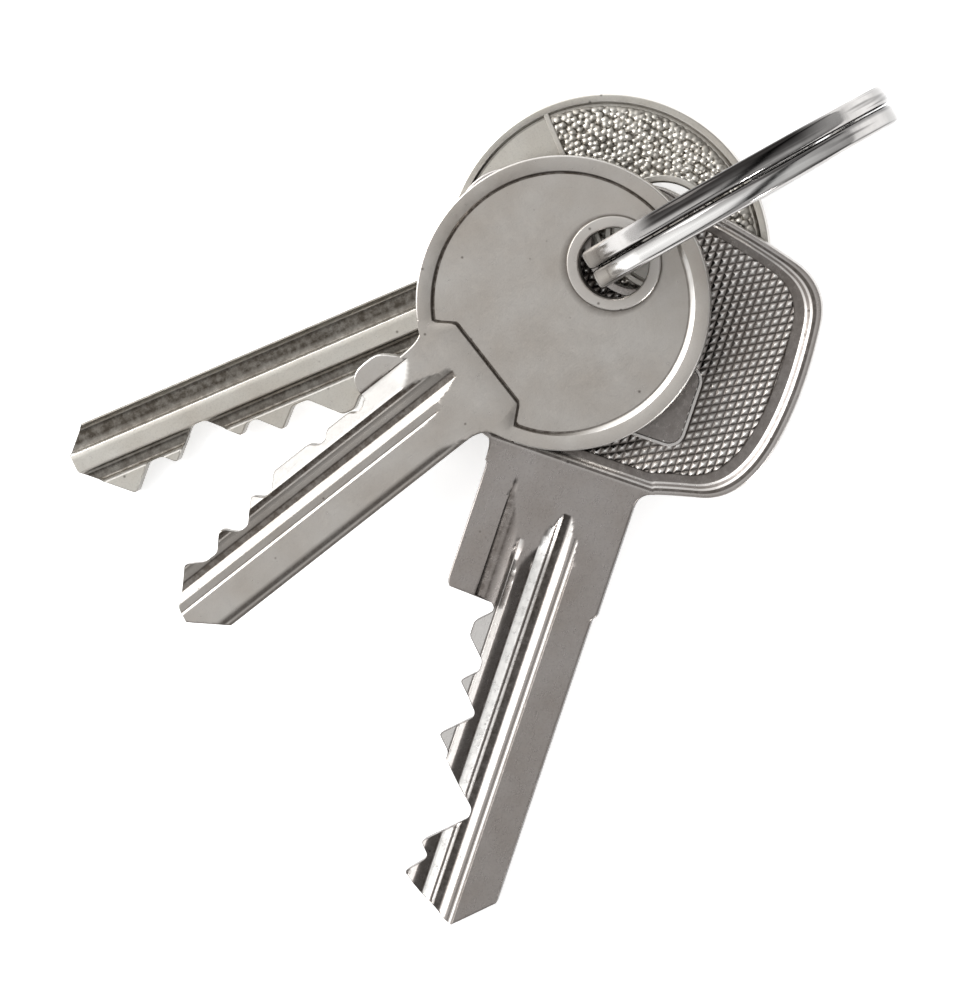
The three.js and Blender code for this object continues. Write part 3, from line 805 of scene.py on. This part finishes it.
def key_body(key, bow_loops):
    """The whole blank as one closed shell. The bow is a set of closed loops round the hole, each
    a distance along the same rays; the shank and blade are a grid of stations along x and
    heights across, held inside the two edges; the rows of the chord belong to both.
    bow_loops(angle, outer) gives (radius, z, tone) from the rim's inner edge to the hole."""
    stations, heights = blade_grid(key)
    rows, columns = heights.shape
    x = np.broadcast_to(stations[:, None], heights.shape)
    # Each edge is rounded off; its outline carries painted shade, and a painted highlight where
    # the lobe is rolled.
    round_off, outline = np.zeros(columns), np.ones(columns)
    round_off[[0, 1, -2, -1]] = [EDGE, EDGE / 3, EDGE / 3, EDGE]
    outline[[0, 1, 2, -3, -2, -1]] = [-0.8, -0.8, -0.4, 0.1, -0.3, -0.5]
    lobe, lobe_end = key["shoulder"][:2]
    rolled_highlight = smooth_step(lobe - 1.6, lobe - 0.8, stations) * (stations < lobe_end)

    arc = bow_arc(key, 240)
    chord = np.stack([x[0], key["plain_edge"] - heights[0]], -1)[::-1]
    count = len(arc) + len(chord)
    whole = np.concatenate([chord[-1:], arc, chord[:1]])
    way = whole[2:] - whole[:-2]
    inward = np.stack([-way[:, 1], way[:, 0]], -1) / np.linalg.norm(way, axis=1, keepdims=True)
    held = [np.clip(np.arange(columns), step, columns - 1 - step) for step in range(3)]
    rims = [
        np.concatenate([arc + distance * inward, chord[numbers]])
        for distance, numbers in zip((0.0, EDGE / 3, EDGE), held)
    ]
    middle = np.array(key["hole"][:2])
    way = rims[-1] - middle
    angle = np.arctan2(way[:, 1], way[:, 0])
    loops = bow_loops(angle, np.hypot(way[:, 0], way[:, 1]))
    ray = np.stack([np.cos(angle), np.sin(angle)], -1)
    flat = np.concatenate([*rims, *(middle + radius[:, None] * ray for radius, _, _ in loops)])
    rim_tones = np.zeros((3, count))
    # The outer rounding of the bow's rim carries a painted highlight.
    rim_tones[:2, : len(arc)] = 0.45
    loop_tones = [np.broadcast_to(tone, count) for _, _, tone in loops]
    bow_tones = np.concatenate([rim_tones.ravel(), *loop_tones])

    points, tones, triangles = [], [], []
    arc_rims, hole_rims, plain_rims, tooth_rims = [], [], [], []
    first = 0
    for face in (1, -1):
        relief, blade_tone = groove_relief(key, face, x, heights)
        blade_tone = np.minimum(blade_tone, outline)
        if "rolled_highlight" in key:
            blade_tone[:, -3:] += (key["rolled_highlight"] - blade_tone[:, -3:]) * rolled_highlight[:, None]
        blade_z = np.minimum(HALF - relief, HALF - round_off)
        rim_z = np.repeat([[HALF - EDGE], [HALF - EDGE / 3], [HALF]], count, 1)
        rim_z[:, len(arc) :] = blade_z[0][::-1][np.stack(held)]
        bow_z = np.concatenate([rim_z.ravel(), *(level for _, level, _ in loops)])
        bow = np.column_stack([flat, face * bow_z])
        blade = np.stack([x, key["plain_edge"] - heights, face * blade_z], -1).reshape(-1, 3)
        points += [bow, blade]
        tones += [bow_tones, blade_tone.ravel()]
        triangles.append(grid_triangles(3 + len(loops), count, first, wrap=True))
        arc_rims.append(first + np.append(count - 1, np.arange(len(arc) + 1)))
        hole_rims.append(first + (2 + len(loops)) * count + np.append(np.arange(count), 0))
        first += len(bow)
        triangles.append(grid_triangles(rows, columns, first))
        plain_rims.append(first + np.arange(rows) * columns)
        tooth_rims.append(plain_rims[-1] + columns - 1)
        first += len(blade)
    for pair in (arc_rims, hole_rims, plain_rims, tooth_rims):
        triangles.append(strip_triangles(*pair))
    points = np.concatenate(points)
    points, triangles, tones = weld(points, np.concatenate(triangles), np.concatenate(tones))
    return points, face_outwards(points, triangles), tones


def hole_collar(like, steps):
    """The last loops of a bow: the collar and the hole's rounded edge, as circles that are each
    (radius, drop below the face, tone)."""
    return [
        (np.full_like(like, radius), np.broadcast_to(HALF - drop, like.shape), tone)
        for radius, drop, tone in steps
    ]


def plain_loops(key, line, depth):
    """Loops of a bow with one sunk field: rim, a sloped wall with rounded foot, the floor, and
    the boss that stands round the hole."""
    hole = key["hole"]
    boss = hole[2] + key["boss"]

    def loops(angle, outer):
        # The side of the tooth-free edge was pressed with a broad slope. There the rim's edge and
        # the wall carry a painted highlight, and elsewhere painted shade.
        turned = np.degrees(angle)
        broad = smooth_step(25, 55, turned) * (1 - smooth_step(140, 170, turned))
        edge = ray_radius(line, hole, angle)
        steep = ray_radius(inset(line, STEEP_WALL), hole, angle)
        foot = steep + (ray_radius(inset(line, key["wall"]), hole, angle) - steep) * broad
        room = smooth_step(0.2, 0.8, foot - boss)
        floor = HALF - depth * room
        foot = np.maximum(foot, boss + 0.2)
        edge = np.minimum(np.maximum(edge, boss + 0.24), outer - 0.08)
        # Painted shade in the corner at the wall's foot, lighter on the broad side.
        shade = 0.5 * broad - 1.0
        rim = np.full_like(edge, HALF)
        made = [(edge + 0.06, rim, 0.0), (edge, HALF - 0.01 * room, 1.1 * broad - 0.5)]
        for part, tone in ((0.2, 0.6), (0.5, 0.7), (0.8, 0.4)):
            level = HALF + (floor - HALF) * part
            made.append((edge + (foot - edge) * part, level, (tone + 0.7) * broad - 0.7))
        made.append((foot, floor, shade))
        made.append((np.maximum(foot - 0.13, boss + 0.15), floor, shade))
        made.append((np.maximum(foot - 0.18, boss + 0.14), floor, 0.0))
        for part in (0.08, 0.2, 0.4, 0.6, 0.8, 0.94):
            made.append((foot - 0.18 + (boss + 0.32 - foot) * part, floor, 0.0))
        # A ring of painted shade round the boss's foot.
        made.append((np.full_like(edge, boss + 0.12), floor, -0.7))
        # The collar's top carries a painted highlight and the hole's edge painted shade.
        return made + hole_collar(edge, (
            (boss + 0.02, 0.05, 0.3),
            (boss - 0.05, 0.0, 0.2),
            (hole[2] + 0.16, 0.0, 0.1),
            (hole[2] + 0.05, 0.06, -0.2),
            (hole[2], 0.16, -0.5),
        ))

    return loops


def wide_loops(key, line, depth, field_depth):
    """Loops of the wide bow: rim, a broad slope, a plain band, the step down into the knurled
    field, its floor, and the boss round the hole. They lie at shares of the way from the rim
    to the field's line, and each sinks by a share of the recess's depth."""
    hole = key["hole"]
    boss = hole[2] + key["boss"]
    # The tones paint highlights on the slopes turned to the light and shade on those turned away.
    steps = (
        (0.12, 0.0, 0.2), (0.16, 0.02, -0.8), (0.26, 0.06, -0.8), (0.29, 0.1, 0.4),
        (0.36, 0.34, 0.45), (0.39, 0.4, -0.45), (0.47, 0.6, -0.4), (0.5, 0.7, 0.5),
        (0.57, 0.96, 0.4), (0.6, 1.0, -0.6), (0.94, 1.0, -0.65), (1.0, 1.06, -1.0),
    )

    def loops(angle, outer):
        field = ray_radius(line, hole, angle)
        room = smooth_step(0.1, 1.4, field - boss)
        field = np.maximum(field, boss + 0.12)
        low = HALF - (depth + field_depth) * room
        made = [
            (outer + (field - outer) * share, HALF - depth * sink * room, tone)
            for share, sink, tone in steps
        ]
        # The field's floor carries painted shade.
        made.append((field - 0.05, low, -1.0))
        for part in (0.1, 0.3, 0.5, 0.7, 0.9):
            made.append((field - 0.05 + (boss + 0.07 - field) * part, low, -0.8))
        made.append((np.full_like(field, boss + 0.06), low, -0.8))
        # The collar's top carries a painted highlight and the hole's edge painted shade.
        return made + hole_collar(field, (
            (boss, 0.04 * room, 0.2),
            (boss - 0.06, 0.0, 0.2),
            (hole[2] + 0.1, 0.0, 0.0),
            (hole[2] + 0.03, 0.04, -0.3),
            (hole[2], 0.12, -0.5),
        ))

    return loops


def field_line(key):
    """The knurled field's outline: the wide bow's own, drawn in towards its middle."""
    middle_x, along, across, half_end = key["field"]
    first, last = ([key["chord"], key["middle_y"] + y] for y in (-half_end, half_end))
    outline = np.concatenate([bow_arc(key, 600), np.linspace(first, last, 60)])
    middle = np.array([middle_x, key["middle_y"]])
    return middle + (outline - middle) * np.array([along, across])


def knurl_sheet(key, line, pitch, height, base):
    """Points z = base + height min(tri a, tri b), where a and b count two families of lines 61
    degrees apart and tri rises from 0 on a line to 1 midway; the tops are cut off flat."""
    lean = math.radians(61.3)
    steps = np.array([0.0, 0.43, 0.57])
    count = int(40 / pitch)
    share = (np.arange(-count, count)[:, None] + steps).ravel()
    a, b = np.meshgrid(share, share, indexing="ij")
    y = a * pitch
    x = (b * pitch - math.cos(lean) * y) / math.sin(lean)
    lift = np.minimum(1 - np.abs(2 * (a % 1) - 1), 1 - np.abs(2 * (b % 1) - 1))
    points = np.stack([x, y, base + height * lift], -1).reshape(-1, 3)
    size = len(share)
    third = np.arange(size - 1) % 3
    flip = (third[:, None] + third[None] == 2) & (third[:, None] != 1)
    triangles = grid_triangles(size, size, flip=flip)
    hole = np.array(key["hole"][:2])
    centre = points[triangles].mean(1)[:, :2] - hole
    far = np.hypot(*centre.T)
    limit = ray_radius(line, hole, np.arctan2(centre[:, 1], centre[:, 0])) + 0.3
    plate = np.array(key["plate"])
    on_plate = (np.abs(centre + hole - plate[:2]) < plate[2:] - 0.4).all(1)
    keep = (far < limit) & (far > key["hole"][2] + 0.4) & ~on_plate
    return used_only(points, triangles[keep])


def pebble_sheet(key, line, pitch, height, base):
    """Domes z = base + height sqrt(1 - (d/r)2) on a three-cornered lattice whose points are moved
    at random by a fifth of the pitch; they fade out towards the rim."""
    rng = np.random.default_rng(7)
    step = pitch / 5.5
    row_height = pitch * 0.866
    reach = key["bow"][0]
    across = np.arange(-reach, key["rib"][0] + 0.2, step)
    x, y = np.meshgrid(across, np.arange(-reach, reach, step), indexing="ij")
    row = np.floor(y / row_height).astype(int)
    size = 80
    jitter = rng.uniform(-0.2, 0.2, (size, size, 3)) * pitch
    lift = np.zeros_like(x)
    for row_step in (-1, 0, 1, 2):
        for column_step in (-1, 0, 1, 2):
            r = row + row_step
            shift = 0.5 * (r % 2)
            c = np.floor(x / pitch - shift).astype(int) + column_step
            moved = jitter[r % size, c % size]
            centre_x = (c + shift) * pitch + moved[..., 0]
            centre_y = r * row_height + moved[..., 1]
            radius = pitch * 0.52 + moved[..., 2] * 0.3
            away = np.hypot(x - centre_x, y - centre_y) / radius
            lift = np.maximum(lift, np.sqrt(np.clip(1 - away**2, 0, 1)))
    from_hole = np.stack([x, y], -1) - np.array(key["hole"][:2])
    far = np.hypot(from_hole[..., 0], from_hole[..., 1])
    limit = ray_radius(line, key["hole"], np.arctan2(from_hole[..., 1], from_hole[..., 0]))
    inside = limit - far
    z = base + height * lift * smooth_step(0.2, 1.3, inside)
    z = z - 0.05 * (1 - smooth_step(0.2, 0.6, inside))
    points = np.stack([x, y, z], -1).reshape(-1, 3)
    triangles = grid_triangles(*x.shape)
    ok = ((far < limit + 0.2) & (far > key["hole"][2] + 0.35)).ravel()
    return used_only(points, triangles[ok[triangles].all(1)])


def used_only(points, triangles):
    """The same sheet without the points that no triangle uses."""
    numbers, inverse = np.unique(triangles, return_inverse=True)
    return points[numbers], inverse.reshape(-1, 3)


def plate_shell(middle_x, middle_y, half_x, half_y, corner, profile):
    """A plate with rounded corners: a rounded rectangle scaled inwards by each profile distance
    at that profile height, closed by its own middle."""
    quarter = np.linspace(0, math.pi / 2, 9)
    arc = np.stack([np.cos(quarter), np.sin(quarter)], -1)
    turns = (((1, 1), 1, 0), ((-1, 1), 0, 1), ((-1, -1), -1, 0), ((1, -1), 0, -1))
    points = []
    for distance, z in profile:
        radius = max(corner - distance, 0.05)
        centre = np.array([half_x - distance - radius, half_y - distance - radius])
        ring = np.concatenate(
            [centre * signs + radius * arc @ np.array([[c, s], [-s, c]]) for signs, c, s in turns]
        )
        points.append(np.column_stack([ring + (middle_x, middle_y), np.full(len(ring), z)]))
    count = len(points[0])
    points.append(np.full((count, 3), (middle_x, middle_y, profile[-1][1])))
    return np.concatenate(points), grid_triangles(len(points), count, wrap=True)


def bar_shell(x, width, half_length, low, high):
    """A straight bar along y: a section with small chamfers carried from end to end."""
    side = np.array([(-width / 2, low), (0.04 - width / 2, high - 0.05), (0.1 - width / 2, high)])
    section = np.concatenate([side, side[::-1] * [-1, 1]])
    stations = np.linspace(-half_length, half_length, 24)
    parts = np.broadcast_arrays(x + section[None, :, 0], stations[:, None], section[None, :, 1])
    return np.stack(parts, -1).reshape(-1, 3), grid_triangles(len(stations), len(section))


def join_key(name, key, body, sheets, material):
    """One key object from its body and from the sheets that lie on both of its faces."""
    points, triangles, tones = ([part] for part in body)
    first = len(body[0])
    for sheet, faces, tone in sheets:
        for face in (1, -1):
            turned = sheet * np.array([1, 1, face])
            points.append(turned)
            triangles.append(face_up(turned, faces, face) + first)
            tones.append(tone)
            first += len(turned)
    points, triangles = np.concatenate(points), np.concatenate(triangles)
    if key["side"] < 0:
        triangles = triangles[:, ::-1]
    placed = key_to_frame(points, key)
    tones = np.concatenate(tones)
    made = new_object(name, placed, triangles, points[:, :2], tones, material, KEY_CREASE)
    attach(made, key["body"])
    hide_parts(key["node"])
    return made


# ---------------------------------------------------------------- operators


class BUNCH_OT_split_ring(bpy.types.Operator):
    """Makes the two-coil split ring"""

    bl_idname = "bunch.split_ring"
    bl_label = "Split Ring"

    def execute(self, context):
        settings = context.scene.bunch_ring
        points, triangles, plan, tone = split_ring_surface(settings.wire_squareness)
        points, triangles, plan, tone = weld(points, triangles, plan, tone)
        triangles = face_outwards(points, triangles)
        low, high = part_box("split_ring")
        middle = (np.array(low) + np.array(high)) / 2
        placed = points @ stack_axes().T * MM + middle
        steel = polished_spring_steel(settings.colour)
        made = new_object("split_ring_wire", placed, triangles, plan, tone, steel, RING_CREASE)
        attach(made, "ring")
        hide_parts("split_ring")
        return {"FINISHED"}


class BUNCH_OT_round_key(bpy.types.Operator):
    """Makes the plain key with the round bow"""

    bl_idname = "bunch.round_key"
    bl_label = "Round-Bow Key"

    def execute(self, context):
        settings = context.scene.bunch_keys
        key = ROUND_KEY
        line = round_recess(*key["recess"])
        body = key_body(key, plain_loops(key, line, settings.recess))
        nickel = worn_nickel(
            "Satin nickel-plated brass",
            settings.satin_colour,
            grime_and_shade="4A433D",
            roughness=0.34,
            speckle=0.08,
            scratch_turn=0.5,
        )
        made = join_key("round_bow_key_blank", key, body, [], nickel)
        return {"FINISHED"}


class BUNCH_OT_knurled_key(bpy.types.Operator):
    """Makes the long key with the wide knurled bow"""

    bl_idname = "bunch.knurled_key"
    bl_label = "Knurled-Bow Key"

    def execute(self, context):
        settings = context.scene.bunch_keys
        key = KNURLED_KEY
        line = field_line(key)
        pitch, height = settings.knurl_pitch, settings.knurl_height
        body = key_body(key, wide_loops(key, line, settings.recess, height + 0.04))
        band = HALF - settings.recess
        base = band - height - 0.01
        knurl = knurl_sheet(key, line, pitch, height, base)
        # The knurl carries a painted highlight on its tops and painted shade in its lowest 0.06
        # mm.
        valley = np.clip((base + 0.06 - knurl[0][:, 2]) / 0.06, 0, 1)
        rise = band + 0.02
        inner = rise - 0.1
        profile = ((-0.08, base - 0.05), (0.0, rise), (0.22, rise), (0.3, inner), (0.45, inner))
        plate = plate_shell(*key["plate"], 1.4, profile)
        # The plate's top carries a painted highlight and its foot painted shade.
        plate_tone = np.where(plate[0][:, 2] < rise - 0.01, -0.4, 0.4)
        nickel = worn_nickel(
            "Bright nickel-plated brass",
            settings.bright_colour,
            grime_and_shade="3B3632",
            roughness=0.3,
            speckle=0.22,
            scratch_turn=0.0,
        )
        sheets = [(*knurl, 0.95 - 1.9 * valley), (*plate, plate_tone)]
        made = join_key("knurled_bow_key_blank", key, body, sheets, nickel)
        return {"FINISHED"}


class BUNCH_OT_pebbled_key(bpy.types.Operator):
    """Makes the yellowed key with the pebbled bow"""

    bl_idname = "bunch.pebbled_key"
    bl_label = "Pebbled-Bow Key"

    def execute(self, context):
        settings = context.scene.bunch_keys
        key = PEBBLED_KEY
        line = round_recess(*key["recess"])
        body = key_body(key, plain_loops(key, line, settings.recess))
        floor = HALF - settings.recess
        pitch, height = settings.pebble_pitch, settings.pebble_height
        pebbles = pebble_sheet(key, line, pitch, height, floor + 0.01)
        # The pebbles carry a slight painted highlight on their tops, as does the rib, and painted
        # shade in their lowest 0.1 mm.
        valley = np.clip((floor + 0.1 - pebbles[0][:, 2]) / 0.1, 0, 1)
        rib = bar_shell(*key["rib"], floor - 0.05, HALF - 0.02)
        nickel = worn_nickel(
            "Yellowed nickel silver",
            settings.yellowed_colour,
            grime_and_shade="453F38",
            roughness=0.34,
            speckle=0.18,
            scratch_turn=0.2,
        )
        sheets = [(*pebbles, 0.1 - 1.1 * valley), (*rib, np.full(len(rib[0]), 0.1))]
        made = join_key("pebbled_bow_key_blank", key, body, sheets, nickel)
        return {"FINISHED"}


def toward(azimuth, elevation):
    """The unit vector to a bearing and a height in radians, as a tuple."""
    flat = math.cos(elevation)
    return flat * math.cos(azimuth), flat * math.sin(azimuth), math.sin(elevation)


def matt_paper(code):
    """Matt white paper: rough and without sheen. Its weak glow lifts the open floor to white and
    is off under the bows, a painted shadow there."""
    paper = bpy.data.materials.new("Matt paper")
    paper.use_nodes = True
    tree = paper.node_tree
    sockets = tree.nodes["Principled BSDF"].inputs
    sockets["Base Color"].default_value = linear(code)
    sockets["Roughness"].default_value = 0.9
    sockets["Emission Color"].default_value = (1, 1, 1, 1)
    # Painted shadow: the glow fades out towards the round key's hole.
    x, y, _ = key_joint(ROUND_KEY)["pos_m"]
    away = add_node(
        tree,
        "ShaderNodeVectorMath",
        {"operation": "DISTANCE"},
        {1: (x, y, 0.0)},
        {0: add_node(tree, "ShaderNodeTexCoord").outputs["Object"]},
    )
    reach = {"From Min": UNLIT_FLOOR, "From Max": LIT_FLOOR, "To Min": 0.0, "To Max": FLOOR_GLOW}
    glow = add_node(
        tree, "ShaderNodeMapRange", inputs=reach, links={"Value": away.outputs["Value"]}
    )
    tree.links.new(glow.outputs["Result"], sockets["Emission Strength"])
    return paper


def studio_room():
    """A world that is brightest low on the left, even overhead and dim low on the right: its
    strength is a curve of the cosine between the way looked and the bright side."""
    world = bpy.data.worlds.new("Studio")
    world.use_nodes = True
    tree = world.node_tree
    bearing, rise = ROOM_SIDE
    side = add_node(
        tree,
        "ShaderNodeVectorMath",
        {"operation": "DOT_PRODUCT"},
        {1: toward(math.radians(bearing - VIEW_TURN), math.radians(rise))},
        {0: add_node(tree, "ShaderNodeTexCoord").outputs["Generated"]},
    )
    ramp = add_node(tree, "ShaderNodeFloatCurve", links={"Value": side.outputs["Value"]})
    curve = ramp.mapping.curves[0]
    ramp.mapping.clip_min_x = -1.0
    ramp.mapping.clip_max_y = 4.0
    for place, level in ROOM_CURVE[1:-1]:
        curve.points.new(place, level)
    curve.points[0].location = ROOM_CURVE[0]
    curve.points[-1].location = ROOM_CURVE[-1]
    ramp.mapping.update()
    background = tree.nodes["Background"].inputs
    tree.links.new(ramp.outputs["Value"], background["Strength"])
    background["Color"].default_value = (1, 1, 1, 1)
    return world


class BUNCH_OT_stage(bpy.types.Operator):
    """Lays the floor and sets the lights and the camera"""

    bl_idname = "bunch.stage"
    bl_label = "Stage"

    def execute(self, context):
        settings = context.scene.bunch_stage
        scene = context.scene
        scene.view_settings.view_transform = "Standard"
        scene.world = studio_room()

        half = settings.floor_size / 2
        mesh = bpy.data.meshes.new("floor")
        corners = [(-half, -half, 0), (half, -half, 0), (half, half, 0), (-half, half, 0)]
        mesh.from_pydata(corners, [], [(0, 1, 2, 3)])
        mesh.materials.append(matt_paper(settings.floor_colour))
        floor = bpy.data.objects.new("floor", mesh)
        scene.collection.objects.link(floor)

        for name, azimuth, height, distance, size, power in LAMPS:
            light = bpy.data.lights.new(name, "AREA")
            light.shape = "SQUARE"
            light.size = size
            light.energy = power
            lamp = bpy.data.objects.new(name, light)
            around, up = math.radians(azimuth) - math.radians(VIEW_TURN), math.radians(height)
            lamp.location = [distance * part for part in toward(around, up)]
            lamp.rotation_euler = (math.pi / 2 - up, 0, around + math.pi / 2)
            scene.collection.objects.link(lamp)

        lens = bpy.data.cameras.new("camera")
        lens.sensor_fit = "HORIZONTAL"
        lens.sensor_width = CAMERA_SENSOR
        lens.lens = CAMERA_LENS
        lens.clip_end = 10.0
        camera = bpy.data.objects.new("camera", lens)
        camera.location = CAMERA_PLACE
        camera.rotation_euler = [math.radians(degrees) for degrees in CAMERA_TURN]
        scene.collection.objects.link(camera)
        scene.camera = camera
        return {"FINISHED"}


class BUNCH_PT_panel(bpy.types.Panel):
    """Lists the pieces of the bunch"""

    bl_idname = "BUNCH_PT_panel"
    bl_label = "Key Bunch"
    bl_space_type = "VIEW_3D"
    bl_region_type = "UI"
    bl_category = "Key Bunch"

    def draw(self, context):
        for name in ("split_ring", "round_key", "knurled_key", "pebbled_key", "stage"):
            self.layout.operator("bunch." + name)


CLASSES = (
    RingSettings,
    KeySettings,
    StageSettings,
    BUNCH_OT_split_ring,
    BUNCH_OT_round_key,
    BUNCH_OT_knurled_key,
    BUNCH_OT_pebbled_key,
    BUNCH_OT_stage,
    BUNCH_PT_panel,
)


def register():
    for item in CLASSES:
        bpy.utils.register_class(item)
    bpy.types.Scene.bunch_ring = bpy.props.PointerProperty(type=RingSettings)
    bpy.types.Scene.bunch_keys = bpy.props.PointerProperty(type=KeySettings)
    bpy.types.Scene.bunch_stage = bpy.props.PointerProperty(type=StageSettings)


def unregister():
    del bpy.types.Scene.bunch_stage
    del bpy.types.Scene.bunch_keys
    del bpy.types.Scene.bunch_ring
    for item in reversed(CLASSES):
        bpy.utils.unregister_class(item)


def main():
    register()
    bpy.ops.bunch.stage()
    bpy.ops.bunch.split_ring()
    bpy.ops.bunch.round_key()
    bpy.ops.bunch.knurled_key()
    bpy.ops.bunch.pebbled_key()


if __name__ == "__main__":
    main()
